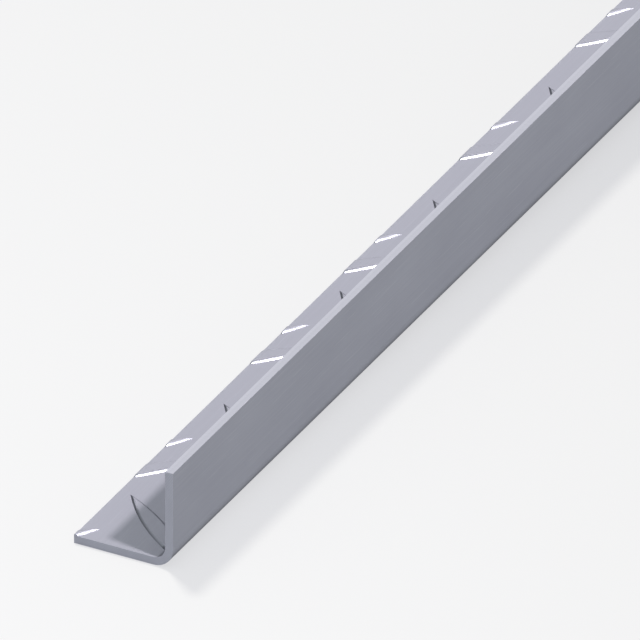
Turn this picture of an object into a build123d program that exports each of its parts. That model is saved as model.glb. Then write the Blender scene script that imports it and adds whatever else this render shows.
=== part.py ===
from build123d import *
import os

# An equal-leg angle section, bent from one strip of sheet metal and cut square at both ends.
#
# Frame, in millimetres: +Z up, +Y along the length. The horizontal leg lies on Z = 0 and the
# vertical leg stands along the +X side. The origin is on the face that the section lies on,
# under the middle of its width and half way along.

# Driving dimensions
leg_width = 25.0  # horizontal leg, from its free edge to the outside of the vertical leg
leg_height = 25.0  # vertical leg, from the outside of the horizontal leg to its free edge
sheet_thickness = 2.0
bend_inner_radius = 3.0  # one and a half thicknesses, so that hard sheet doesn't crack
cut_length = 1000.0

# The bend keeps the sheet's thickness, so the outside radius follows from the inside one.
bend_outer_radius = bend_inner_radius + sheet_thickness
free_edge_x = -leg_width / 2
outer_face_x = leg_width / 2


def bent_section():
    """The section across the length: the outside line of the bent strip, thickened inwards."""
    with BuildSketch(Plane.XZ) as section:
        with BuildLine():
            FilletPolyline(
                (free_edge_x, 0),
                (outer_face_x, 0),
                (outer_face_x, leg_height),
                radius=bend_outer_radius,
            )
            offset(amount=sheet_thickness, side=Side.LEFT)
        make_face()
    return section.sketch


def angle_section():
    """One cut length of the section, the same distance each way from the origin."""
    angle = extrude(bent_section(), amount=cut_length / 2, both=True)
    angle.label = "angle_section"
    return angle


os.makedirs("parts", exist_ok=True)
export_step(angle_section(), "parts/angle_section.step")
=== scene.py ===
from math import asin, cos, pi, radians, sin, sqrt

import bmesh
import bpy
from mathutils import Matrix, Vector


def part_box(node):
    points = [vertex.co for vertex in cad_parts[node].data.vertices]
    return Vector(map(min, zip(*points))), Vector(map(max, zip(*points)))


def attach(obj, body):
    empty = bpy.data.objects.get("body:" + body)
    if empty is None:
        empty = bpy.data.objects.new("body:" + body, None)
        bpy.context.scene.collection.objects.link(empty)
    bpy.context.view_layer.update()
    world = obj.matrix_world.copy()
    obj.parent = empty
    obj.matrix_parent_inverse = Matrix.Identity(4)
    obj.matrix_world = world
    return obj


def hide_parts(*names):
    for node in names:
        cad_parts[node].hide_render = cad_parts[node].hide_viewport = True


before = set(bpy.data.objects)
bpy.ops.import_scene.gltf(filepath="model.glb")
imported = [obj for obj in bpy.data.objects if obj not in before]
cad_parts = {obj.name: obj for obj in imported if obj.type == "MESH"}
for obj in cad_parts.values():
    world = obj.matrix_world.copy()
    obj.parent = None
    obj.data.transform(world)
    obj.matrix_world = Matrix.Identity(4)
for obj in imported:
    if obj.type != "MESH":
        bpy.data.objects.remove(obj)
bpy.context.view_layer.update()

# The bars of two-bar tread sheet. They are the sheet's own aluminium: a finishing roll presses
# lens-shaped bars into one side of the hot sheet, in pairs, and the pairs of one row lie across
# those of the next.
mm = 0.001
sheet_thickness = 2.0 * mm
bar_length = 33.8 * mm
bar_width = 4.9 * mm
bar_root = 0.6 * mm  # how far a bar is taken down into the sheet that it is one with
tip_merge = 0.01 * mm
arc_steps = 10
flank_steps = [  # how far each goes inwards, and how far up
    (0.22 * mm, 0.21 * mm),
    (0.22 * mm, 0.15 * mm),
    (0.20 * mm, 0.09 * mm),
    (0.06 * mm, 0.02 * mm),
    (0.15 * mm, 0),
]
bar_drag = 0.25  # the roll drags the tops towards the near end, by this part of their height


def one_bar():
    """A bar along Y: two arcs that meet at the tips, flanks that grow less steep, and a flat top."""
    bar = bmesh.new()
    arc_radius = (bar_length ** 2 + bar_width ** 2) / (4 * bar_width)
    arc_centre = arc_radius - bar_width / 2
    arc_turn = 2 * asin(bar_length / 2 / arc_radius)
    tip = (0, -bar_length / 2, -bar_root)
    drawn = bmesh.ops.create_vert(bar, co=tip)["vert"]
    for side in (-1, 1):
        centre = (side * arc_centre, 0, 0)
        drawn = bmesh.ops.spin(
            bar, geom=drawn, cent=centre, axis=(0, 0, 1), angle=arc_turn, steps=arc_steps
        )["geom_last"]
    bmesh.ops.remove_doubles(bar, verts=bar.verts[:], dist=tip_merge)
    bmesh.ops.contextual_create(bar, geom=bar.edges[:])
    raised = bmesh.ops.extrude_face_region(bar, geom=bar.faces[:])["geom"]
    risen = [part for part in raised if isinstance(part, bmesh.types.BMVert)]
    bmesh.ops.translate(bar, vec=(0, 0, bar_root), verts=risen)
    top = [part for part in raised if isinstance(part, bmesh.types.BMFace)]
    bmesh.ops.recalc_face_normals(bar, faces=bar.faces[:])
    for inwards, upwards in flank_steps:
        bmesh.ops.inset_region(bar, faces=top, thickness=inwards, depth=upwards, use_even_offset=True)
    mesh = bpy.data.meshes.new("bar")
    bar.to_mesh(mesh)
    bar.free()
    return mesh


# One turn of the roll presses these pairs, and then they come again. Distances along the sheet are
# from the near end, and distances across it from the free edge of the leg that lies flat.
pair_pitches = [44.5 * mm, 55.4 * mm, 44.5 * mm, 55.4 * mm, 55.4 * mm]
first_pair = -13.2 * mm
second_bar = Vector((7.5 * mm, 6.25 * mm))
outer_row = {"across": -0.4 * mm, "along": 0, "lean": radians(-44.9), "side": -1}
inner_row = {"across": 15.8 * mm, "along": 23.8 * mm, "lean": radians(49.8), "side": 1}


def all_bars(length):
    """The pairs of both rows over that length of sheet, as separate closed shells."""
    bar = one_bar()
    bars = bmesh.new()
    drag = Matrix.Shear("XY", 4, (0, -bar_drag))
    along = first_pair - sum(pair_pitches)
    pair = 0
    while along < length + bar_length:
        for row in (outer_row, inner_row):
            lean = Matrix.Rotation(row["lean"], 4, "Z")
            for step in (Vector((0, 0)), Vector((row["side"] * second_bar.x, second_bar.y))):
                middle = (row["across"] + step.x, along + row["along"] + step.y, sheet_thickness)
                before = len(bars.verts)
                bars.from_mesh(bar)
                bars.verts.ensure_lookup_table()
                place = Matrix.Translation(middle) @ drag @ lean
                bmesh.ops.transform(bars, matrix=place, verts=bars.verts[before:])
        along += pair_pitches[pair % len(pair_pitches)]
        pair += 1
    return bars


# The angle: one strip of that sheet, slit to width, folded on a press brake with its bars inside
# and sawn to length. It is mill-finish aluminium all through, with nothing fixed to it.
lowest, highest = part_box("angle_section")
bend_inner_radius = 3.0 * mm
bend_outer_radius = bend_inner_radius + sheet_thickness
neutral_depth = 0.4 * sheet_thickness  # from the inside of a bend, where the metal isn't stretched
neutral_radius = bend_inner_radius + neutral_depth
leg = highest.x - lowest.x
length = highest.y - lowest.y
flat_width = leg - bend_outer_radius
bend_width = neutral_radius * pi / 2
strip_width = 2 * flat_width + bend_width
bend_steps = 16
bar_rollover = 0.4 * mm  # the slitting blade presses down the bars that it cuts through
rollover_steps = 4
edge_break = 0.03 * mm  # a file has been run once along every edge
spare = 3 * mm  # what the sheet has to be cut off on each side
same_place = 0.001 * mm  # points closer to a plane than this lie in it
merged_within = 0.002 * mm


def linked(bm, name):
    """An object of that name, made of what has been built and put in the scene."""
    mesh = bpy.data.meshes.new(name)
    bm.to_mesh(mesh)
    bm.free()
    made = bpy.data.objects.new(name, mesh)
    bpy.context.scene.collection.objects.link(made)
    return made


def tread_sheet():
    """A flat piece of the sheet, a little larger than the strip, with its bars."""
    size = Vector((strip_width + 2 * spare, length + 2 * spare, sheet_thickness))
    middle = Vector((strip_width / 2, length / 2, sheet_thickness / 2))
    sheet = bmesh.new()
    shape = Matrix.Translation(middle) @ Matrix.Diagonal((*size, 1))
    bmesh.ops.create_cube(sheet, size=1, matrix=shape)
    sheet = linked(sheet, "sheet")
    bars = linked(all_bars(length), "bars")
    join = sheet.modifiers.new("join", "BOOLEAN")
    join.operation = "UNION"
    join.solver = "MANIFOLD"
    join.object = bars
    joined = sheet.evaluated_get(bpy.context.evaluated_depsgraph_get()).to_mesh()
    strip = bmesh.new()
    strip.from_mesh(joined)
    bpy.data.objects.remove(sheet)
    bpy.data.objects.remove(bars)
    return strip


def cut(strip, place, outwards):
    """Cuts off what lies outwards of a plane, and closes the cut."""
    everything = strip.verts[:] + strip.edges[:] + strip.faces[:]
    found = bmesh.ops.bisect_plane(
        strip, geom=everything, dist=same_place, plane_co=place, plane_no=outwards, clear_outer=True
    )["geom_cut"]
    outline = [part for part in found if isinstance(part, bmesh.types.BMEdge)]
    bmesh.ops.edgeloop_fill(strip, edges=outline)


def score(strip, place, across):
    """Runs a line of vertices round the strip, where it is to be bent or filed."""
    everything = strip.verts[:] + strip.edges[:] + strip.faces[:]
    bmesh.ops.bisect_plane(strip, geom=everything, dist=same_place, plane_co=place, plane_no=across)


strip = tread_sheet()
cut(strip, (0, 0, 0), (-1, 0, 0))
cut(strip, (strip_width, 0, 0), (1, 0, 0))
cut(strip, (0, 0, 0), (0, -1, 0))
cut(strip, (0, length, 0), (0, 1, 0))
for step in range(bend_steps + 1):
    score(strip, (flat_width + bend_width * step / bend_steps, 0, 0), (1, 0, 0))
turns = [step * pi / 2 / rollover_steps for step in range(1, rollover_steps + 1)]
for inset in [edge_break] + [bar_rollover * (1 - cos(turn)) for turn in turns]:
    score(strip, (inset, 0, 0), (1, 0, 0))
    score(strip, (strip_width - inset, 0, 0), (1, 0, 0))
for inset in (edge_break, length - edge_break):
    score(strip, (0, inset, 0), (0, 1, 0))

# Each side of the flat strip has its own finish, and takes it along into the fold.
pattern_side, bar_flank, plain_side, slit_edge, sawn_end = range(5)
level_enough = 0.9  # a face of a bar whose normal rises less than this is part of its flank
strip.normal_update()
for face in strip.faces:
    middle = face.calc_center_median()
    if min(middle.y, length - middle.y) < edge_break:
        face.material_index = sawn_end
    elif min(middle.x, strip_width - middle.x) < edge_break:
        face.material_index = slit_edge
    elif face.normal.z < 0:
        face.material_index = plain_side
    elif face.normal.z < level_enough:
        face.material_index = bar_flank
    else:
        face.material_index = pattern_side


def rolled_over(place):
    """Where a bar is cut through at a slit side, its top is rounded over towards the cut."""
    from_side = min(max(min(place.x, strip_width - place.x), 0), bar_rollover)
    if place.z > sheet_thickness:
        drop = bar_rollover - sqrt(bar_rollover ** 2 - (bar_rollover - from_side) ** 2)
        place.z = max(place.z - drop, sheet_thickness)


def filed(place):
    """Takes the sharpness off the edges of both sawn ends and both slit sides."""
    at_end = min(place.y, length - place.y) < same_place
    at_side = min(place.x, strip_width - place.x) < same_place
    if at_end:
        place.x = min(max(place.x, edge_break), strip_width - edge_break)
    if at_end or at_side:
        place.z += edge_break if place.z < sheet_thickness / 2 else -edge_break


def folded(place):
    """Where a point of the flat strip goes when the strip is bent, its bars inwards."""
    turn = min(max((place.x - flat_width) / bend_width, 0), 1) * pi / 2
    beyond = max(place.x - flat_width - bend_width, 0)
    radius = bend_outer_radius - place.z
    x = min(place.x, flat_width) + radius * sin(turn) + beyond * cos(turn)
    z = bend_outer_radius - radius * cos(turn) + beyond * sin(turn)
    return Vector((lowest.x + x, lowest.y + place.y, lowest.z + z))


for vertex in strip.verts:
    rolled_over(vertex.co)
    filed(vertex.co)
    vertex.co = folded(vertex.co)
bmesh.ops.remove_doubles(strip, verts=strip.verts[:], dist=merged_within)
bmesh.ops.recalc_face_normals(strip, faces=strip.faces[:])
bmesh.ops.triangulate(strip, faces=strip.faces[:])
bmesh.ops.dissolve_degenerate(strip, dist=merged_within, edges=strip.edges[:])
for face in strip.faces:
    face.smooth = True
angle = linked(strip, "tread_plate_angle")
sharp_from = radians(30)
angle.data.set_sharp_from_angle(angle=sharp_from)
weigh = angle.modifiers.new("weigh", "WEIGHTED_NORMAL")
weigh.keep_sharp = True
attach(angle, "root")
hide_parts("angle_section")


def linear(hex_colour):
    """An sRGB colour such as "#B4B4C0" as the linear numbers that a shader takes."""
    parts = [int(hex_colour[i:i + 2], 16) / 255 for i in (1, 3, 5)]
    return [p / 12.92 if p <= 0.04045 else ((p + 0.055) / 1.055) ** 2.4 for p in parts] + [1]


def add_node(tree, kind, settings, inputs):
    """A node with its settings, and with its inputs set to values or linked to other nodes' outputs."""
    node = tree.nodes.new(kind)
    for name, value in settings.items():
        setattr(node, name, value)
    for name, value in inputs.items():
        if isinstance(value, bpy.types.NodeSocket):
            tree.links.new(value, node.inputs[name])
        else:
            node.inputs[name].default_value = value
    return node


def new_metal(name, metallic):
    """A metal for the next of the angle's material slots, as its node tree and its shader."""
    metal = bpy.data.materials.new(name)
    metal.use_nodes = True
    angle.data.materials.append(metal)
    shader = metal.node_tree.nodes["Principled BSDF"]
    shader.inputs["Metallic"].default_value = metallic
    return metal.node_tree, shader


# Rolled faces are mill-finish aluminium: the oxide film makes them half metal and half matt to the
# eye. Rolling leaves lines along the length, burnt-off oil leaves faint clouds, and stacking and
# handling leave a few slanting rubs. The lines are drawn coarser than the real 0.05 mm ones.
line_across = 0.35 * mm
line_along = 60 * mm
cloud_across = 11 * mm
cloud_along = 25 * mm
rub_across = 0.3 * mm
rub_along = 12 * mm
rub_lean = 24  # degrees
rub_from, rub_full = 0.72, 0.8  # so high a noise is rare, so there are only a few rubs
rub_strength = 0.3
cloud_share = 0.6
noise_low, noise_high = 0.3, 0.7  # most of a noise lies between these
line_depth = 0.002 * mm
relief_strength = 0.5
half_metal = 0.5
rolled_roughness = 0.65
roughness_spread = 0.06


def rolled(tree, shader, dull, bright, seed):
    """Puts the marks of rolling and handling in a face's relief and shine, and returns its colour."""
    place = add_node(tree, "ShaderNodeTexCoord", {}, {}).outputs["Object"]
    marks = []
    for across, along, lean, detail in (
        (line_across, line_along, 0, 2),
        (cloud_across, cloud_along, 0, 3),
        (rub_across, rub_along, rub_lean, 0),
    ):
        turned = add_node(tree, "ShaderNodeMapping", {}, {
            "Vector": place,
            "Location": (seed, seed, seed),
            "Rotation": (radians(lean), 0, radians(lean)),
            "Scale": (1 / across, 1 / along, 1 / across),
        }).outputs["Vector"]
        marks.append(add_node(tree, "ShaderNodeTexNoise", {}, {
            "Vector": turned, "Scale": 1, "Detail": detail,
        }).outputs["Fac"])
    lines, clouds, slants = marks
    rubs = add_node(tree, "ShaderNodeMapRange", {}, {
        "Value": slants, "From Min": rub_from, "From Max": rub_full, "To Min": 0, "To Max": rub_strength,
    }).outputs["Result"]
    both = add_node(tree, "ShaderNodeMix", {}, {
        "Factor": cloud_share, "A": lines, "B": clouds,
    }).outputs["Result"]
    tone = add_node(tree, "ShaderNodeMath", {"operation": "ADD"}, {0: both, 1: rubs}).outputs["Value"]
    worn = add_node(tree, "ShaderNodeMapRange", {}, {
        "Value": tone, "From Min": noise_low, "From Max": noise_high,
        "To Min": rolled_roughness + roughness_spread, "To Max": rolled_roughness - roughness_spread,
    }).outputs["Result"]
    tree.links.new(worn, shader.inputs["Roughness"])
    relief = add_node(tree, "ShaderNodeBump", {}, {
        "Strength": relief_strength, "Distance": line_depth, "Height": lines,
    }).outputs["Normal"]
    tree.links.new(relief, shader.inputs["Normal"])
    return add_node(tree, "ShaderNodeMix", {"data_type": "RGBA"}, {
        "Factor": tone, 6: linear(dull), 7: linear(bright),
    }).outputs[2]


tree, shader = new_metal("rolled_pattern_side", half_metal)
colour = rolled(tree, shader, "#AFAFBB", "#BBBBC7", 0)

# The middle of the bend's inside is coloured darker: painted shade for the crease between the legs,
# more in some places than in others.
bend_shade_patch = 14 * mm
patch_low, patch_high = 0.35, 0.6
least_bend_shade = 0.45
fade_from = 0.3 * mm  # how much further from the corner than the middle of the bend
bend_shade_fade_to = 1.1 * mm


def bend_middle(tree, place, corner, radius, fade_to):
    """1 along the middle of a bend and 0 on the legs, by how near a place is to the legs' corner."""
    nearest = (sqrt(2) - 1) * radius
    section = add_node(tree, "ShaderNodeVectorMath", {"operation": "MULTIPLY"}, {
        0: place, 1: (1, 0, 1),
    }).outputs[0]
    apart = add_node(tree, "ShaderNodeVectorMath", {"operation": "DISTANCE"}, {
        0: section, 1: corner,
    }).outputs["Value"]
    return add_node(tree, "ShaderNodeMapRange", {"interpolation_type": "SMOOTHSTEP"}, {
        "Value": apart, "From Min": nearest + fade_from, "From Max": nearest + fade_to,
        "To Min": 1, "To Max": 0,
    }).outputs["Result"]


inner_corner = Vector((highest.x - sheet_thickness, 0, lowest.z + sheet_thickness))
place = add_node(tree, "ShaderNodeTexCoord", {}, {}).outputs["Object"]
inner_bend_shade = bend_middle(tree, place, inner_corner, bend_inner_radius, bend_shade_fade_to)
patches = add_node(tree, "ShaderNodeTexNoise", {}, {
    "Vector": place, "Scale": 1 / bend_shade_patch, "Detail": 4,
}).outputs["Fac"]
patchy = add_node(tree, "ShaderNodeMapRange", {}, {
    "Value": patches, "From Min": patch_low, "From Max": patch_high, "To Min": least_bend_shade, "To Max": 1,
}).outputs["Result"]
inner_bend_shade = add_node(tree, "ShaderNodeMath", {"operation": "MULTIPLY"}, {0: inner_bend_shade, 1: patchy}).outputs[0]
# painted shade in the crease inside the bend
colour = add_node(tree, "ShaderNodeMix", {"data_type": "RGBA"}, {
    "Factor": inner_bend_shade, 6: colour, 7: linear("#787A84"),
}).outputs[2]
tree.links.new(colour, shader.inputs["Base Color"])

# The flanks of the bars: the same aluminium, drawn over the steep walls of the roll's pockets. They
# come out burnished, and turn far brighter and darker than the face about them.
flank_grain = 0.5 * mm
flank_rough, flank_shiny = 0.4, 0.34
tree, shader = new_metal("pressed_bar_flank", 1)
place = add_node(tree, "ShaderNodeTexCoord", {}, {}).outputs["Object"]
grain = add_node(tree, "ShaderNodeTexNoise", {}, {
    "Vector": place, "Scale": 1 / flank_grain, "Detail": 2,
}).outputs["Fac"]
colour = add_node(tree, "ShaderNodeMix", {"data_type": "RGBA"}, {
    "Factor": grain, 6: linear("#9698A2"), 7: linear("#A1A2AD"),
}).outputs[2]
tree.links.new(colour, shader.inputs["Base Color"])
polish = add_node(tree, "ShaderNodeMapRange", {}, {
    "Value": grain, "From Min": noise_low, "From Max": noise_high,
    "To Min": flank_rough, "To Max": flank_shiny,
}).outputs["Result"]
tree.links.new(polish, shader.inputs["Roughness"])

# The plain side: it ran on an unpolished roll and over tables, so it is a little duller. Its colour is
# also darker, as painted shade for faces that turn away from the light above. It is darkest round the
# outside of the bend: painted shade where the bend turns down towards the floor.
underside_shade_fade_to = 2.4 * mm
tree, shader = new_metal("rolled_plain_side", half_metal)
# darker than the pattern side: partly a duller finish, partly painted shade
colour = rolled(tree, shader, "#9396A1", "#9EA1AC", 7)
outer_corner = Vector((highest.x, 0, lowest.z))
place = add_node(tree, "ShaderNodeTexCoord", {}, {}).outputs["Object"]
outer_bend_shade = bend_middle(tree, place, outer_corner, bend_outer_radius, underside_shade_fade_to)
# painted shade round the outside of the bend, where it turns down to the floor
colour = add_node(tree, "ShaderNodeMix", {"data_type": "RGBA"}, {
    "Factor": outer_bend_shade, 6: colour, 7: linear("#74777F"),
}).outputs[2]
tree.links.new(colour, shader.inputs["Base Color"])

# The slit edges: aluminium sheared by a pair of slitting blades. A third of the thickness is
# burnished by the blade, the rest is torn and duller, and both carry fine lines across it. Both are
# coloured lighter than the rolled faces: partly the fresh cut, partly painted light for the top of the
# standing leg, which no other part shades.
burnished_depth = 0.7 * mm
stria_pitch = 0.3 * mm
stria_length = 6 * stria_pitch
ragged_by = 0.5 * mm
burnish_from = sheet_thickness - burnished_depth + 0.3 * ragged_by
burnish_full = sheet_thickness - burnished_depth + 0.7 * ragged_by
burnish_share = 0.4
mix_low, mix_high = 0.2, 0.8
cut_rough, cut_shiny = 0.56, 0.44
tree, shader = new_metal("slit_edge", half_metal)
place = add_node(tree, "ShaderNodeTexCoord", {}, {}).outputs["Object"]
drawn = add_node(tree, "ShaderNodeMapping", {}, {
    "Vector": place, "Scale": (1 / stria_length, 1 / stria_pitch, 1 / stria_length),
}).outputs["Vector"]
striae = add_node(tree, "ShaderNodeTexNoise", {}, {
    "Vector": drawn, "Scale": 1, "Detail": 2,
}).outputs["Fac"]
axes = add_node(tree, "ShaderNodeSeparateXYZ", {}, {0: place}).outputs
from_outside = add_node(tree, "ShaderNodeMath", {"operation": "SUBTRACT"}, {
    0: highest.x, 1: axes["X"],
}).outputs[0]
depth = add_node(tree, "ShaderNodeMath", {"operation": "MINIMUM"}, {
    0: from_outside, 1: axes["Z"],
}).outputs[0]
ragged = add_node(tree, "ShaderNodeMath", {"operation": "MULTIPLY_ADD"}, {
    0: striae, 1: ragged_by, 2: depth,
}).outputs[0]
burnish = add_node(tree, "ShaderNodeMapRange", {}, {
    "Value": ragged, "From Min": burnish_from, "From Max": burnish_full,
}).outputs["Result"]
both = add_node(tree, "ShaderNodeMix", {}, {
    "Factor": burnish_share, "A": striae, "B": burnish,
}).outputs["Result"]
# lighter than the rolled faces: partly the burnished cut, partly painted light
colour = add_node(tree, "ShaderNodeMix", {"data_type": "RGBA"}, {
    "Factor": both, 6: linear("#C4C4CF"), 7: linear("#D0D0DB"),
}).outputs[2]
tree.links.new(colour, shader.inputs["Base Color"])
polish = add_node(tree, "ShaderNodeMapRange", {}, {
    "Value": both, "From Min": mix_low, "From Max": mix_high, "To Min": cut_rough, "To Max": cut_shiny,
}).outputs["Result"]
tree.links.new(polish, shader.inputs["Roughness"])

# The sawn ends: aluminium cut by a circular saw, whose teeth leave nearly straight arcs. The metal
# smears a little on the way, which makes the cut patchy.
saw_radius = 175 * mm
hub_left = 0.75 * saw_radius
hub_up = 0.66 * saw_radius
tooth_pitch = 0.45 * mm
tooth_depth = 0.004 * mm
wave_period = pi / 10  # a wave texture comes again after this much, at a scale of 1
smear = 3 * mm
smear_share = 0.5
tree, shader = new_metal("sawn_end", half_metal)
place = add_node(tree, "ShaderNodeTexCoord", {}, {}).outputs["Object"]
from_hub = add_node(tree, "ShaderNodeMapping", {}, {
    "Vector": place, "Location": (hub_left, 0, -hub_up),
}).outputs["Vector"]
arcs = add_node(tree, "ShaderNodeTexWave", {"wave_type": "RINGS", "rings_direction": "Y"}, {
    "Vector": from_hub, "Scale": wave_period / tooth_pitch,
    "Distortion": 1.5, "Detail": 2, "Detail Scale": 0.3,
}).outputs["Fac"]
smears = add_node(tree, "ShaderNodeTexNoise", {}, {
    "Vector": place, "Scale": 1 / smear, "Detail": 3,
}).outputs["Fac"]
both = add_node(tree, "ShaderNodeMix", {}, {
    "Factor": smear_share, "A": arcs, "B": smears,
}).outputs["Result"]
colour = add_node(tree, "ShaderNodeMix", {"data_type": "RGBA"}, {
    "Factor": both, 6: linear("#AEB1BF"), 7: linear("#BABDCB"),
}).outputs[2]
tree.links.new(colour, shader.inputs["Base Color"])
polish = add_node(tree, "ShaderNodeMapRange", {}, {
    "Value": both, "From Min": mix_low, "From Max": mix_high, "To Min": cut_rough, "To Max": cut_shiny,
}).outputs["Result"]
tree.links.new(polish, shader.inputs["Roughness"])
relief = add_node(tree, "ShaderNodeBump", {}, {
    "Strength": relief_strength, "Distance": tooth_depth, "Height": arcs,
}).outputs["Normal"]
tree.links.new(relief, shader.inputs["Normal"])

# The floor: a large sheet of pale, quite matt paper. To the camera, and in metal and glass, it shows
# a pale glow that falls off a little towards the far right, and it keeps the shadow of the angle.
floor_reach = 6  # metres each way from the middle
floor_gap = 0.02 * mm  # so that it isn't in one plane with the underside
glow_near, glow_far = 0.688, 0.606
fall_start, fall_end = -60 * mm, 260 * mm  # from the near end
far_right = Vector((0.57, 0.82, 0))
floor_bm = bmesh.new()
bmesh.ops.create_grid(floor_bm, x_segments=1, y_segments=1, size=floor_reach)
floor = linked(floor_bm, "floor")
floor.location.z = lowest.z - floor_gap
paper = bpy.data.materials.new("paper")
paper.use_nodes = True
floor.data.materials.append(paper)
tree = paper.node_tree
shader = tree.nodes["Principled BSDF"]
shader.inputs["Base Color"].default_value = linear("#7C7C7C")
shader.inputs["Roughness"].default_value = 1
shader.inputs["Specular IOR Level"].default_value = 0
shader.inputs["Emission Color"].default_value = linear("#FCFCFF")
rays = add_node(tree, "ShaderNodeLightPath", {}, {}).outputs
seen = rays["Is Camera Ray"]
for ray in ("Is Glossy Ray", "Is Transmission Ray"):
    seen = add_node(tree, "ShaderNodeMath", {"operation": "MAXIMUM"}, {0: seen, 1: rays[ray]}).outputs[0]
place = add_node(tree, "ShaderNodeTexCoord", {}, {}).outputs["Object"]
onwards = add_node(tree, "ShaderNodeVectorMath", {"operation": "DOT_PRODUCT"}, {
    0: place, 1: far_right,
}).outputs["Value"]
near_end = far_right.y * lowest.y
fall = add_node(tree, "ShaderNodeMapRange", {}, {
    "Value": onwards, "From Min": near_end + fall_start, "From Max": near_end + fall_end,
    "To Min": glow_near, "To Max": glow_far,
}).outputs["Result"]
glow = add_node(tree, "ShaderNodeMath", {"operation": "MULTIPLY"}, {0: seen, 1: fall}).outputs[0]
tree.links.new(glow, shader.inputs["Emission Strength"])

# The studio: a soft white dome that is dark at the horizon, and two large lamps. The key lamp stands
# to the right of the angle and lights that alone. The other stands behind it to the left, and only
# casts its shadow on the floor.
key_towards = Vector((0.556, -0.09, 0.82))
key_strength = 2.66
key_width = 5  # degrees
floor_lamp_towards = Vector((-0.365, 0.268, 0.892))
floor_lamp_strength = 2.6
floor_lamp_width = 9  # degrees, which makes the shadow soft
dome_strength = 0.71
dome_from, dome_to = 0.15, 0.5  # the heights at which it starts and ends to brighten; 1 is overhead


def sun(name, towards, strength, width, colour, lit):
    """A lamp far away in that direction, so many degrees across, that lights one object only."""
    lamp = bpy.data.lights.new(name, "SUN")
    lamp.energy = strength
    lamp.angle = radians(width)
    lamp.color = linear(colour)[:3]
    made = bpy.data.objects.new(name, lamp)
    made.rotation_mode = "QUATERNION"
    made.rotation_quaternion = (-towards).to_track_quat("-Z", "Y")
    bpy.context.scene.collection.objects.link(made)
    only = bpy.data.collections.new(name + "_lights")
    only.objects.link(lit)
    made.light_linking.receiver_collection = only


sun("key", key_towards, key_strength, key_width, "#FFFAFA", angle)
sun("floor_lamp", floor_lamp_towards, floor_lamp_strength, floor_lamp_width, "#FFFBF1", floor)

world = bpy.data.worlds.new("studio")
world.use_nodes = True
tree = world.node_tree
background = tree.nodes["Background"]
sight = add_node(tree, "ShaderNodeTexCoord", {}, {}).outputs["Generated"]
height = add_node(tree, "ShaderNodeSeparateXYZ", {}, {0: sight}).outputs["Z"]
level = add_node(tree, "ShaderNodeMapRange", {}, {
    "Value": height, "From Min": dome_from, "From Max": dome_to,
    "To Min": 0, "To Max": dome_strength,
}).outputs["Result"]
background.inputs["Color"].default_value = linear("#FAFFFF")
tree.links.new(level, background.inputs["Strength"])
bpy.context.scene.world = world
bpy.context.scene.view_settings.view_transform = "Standard"

# The camera: it looks along parallel lines, from the right of the near end and from well above it.
# What it takes in is a square 143 mm wide, with the first 400 mm of the length.
picture_size = 640  # pixels each way
pixels_per_metre = 4475
corner_pixel = Vector((73.95, 535.2))  # the upper corner of the near end, at the free edge
view_azimuth = radians(27.87)
view_elevation = radians(31.07)
camera_distance = 2.0  # metres

towards_camera = Vector((
    sin(view_azimuth) * cos(view_elevation),
    -cos(view_azimuth) * cos(view_elevation),
    sin(view_elevation),
))
turn = (-towards_camera).to_track_quat("-Z", "Y")
from_corner = Vector((picture_size / 2 - corner_pixel.x, corner_pixel.y - picture_size / 2, 0))
corner = Vector((lowest.x, lowest.y, sheet_thickness))

camera = bpy.data.objects.new("camera", bpy.data.cameras.new("camera"))
camera.data.type = "ORTHO"
camera.data.ortho_scale = picture_size / pixels_per_metre
camera.data.clip_end = 2 * camera_distance
camera.rotation_mode = "QUATERNION"
camera.rotation_quaternion = turn
camera.location = corner + turn @ (from_corner / pixels_per_metre) + towards_camera * camera_distance
bpy.context.scene.collection.objects.link(camera)
bpy.context.scene.camera = camera
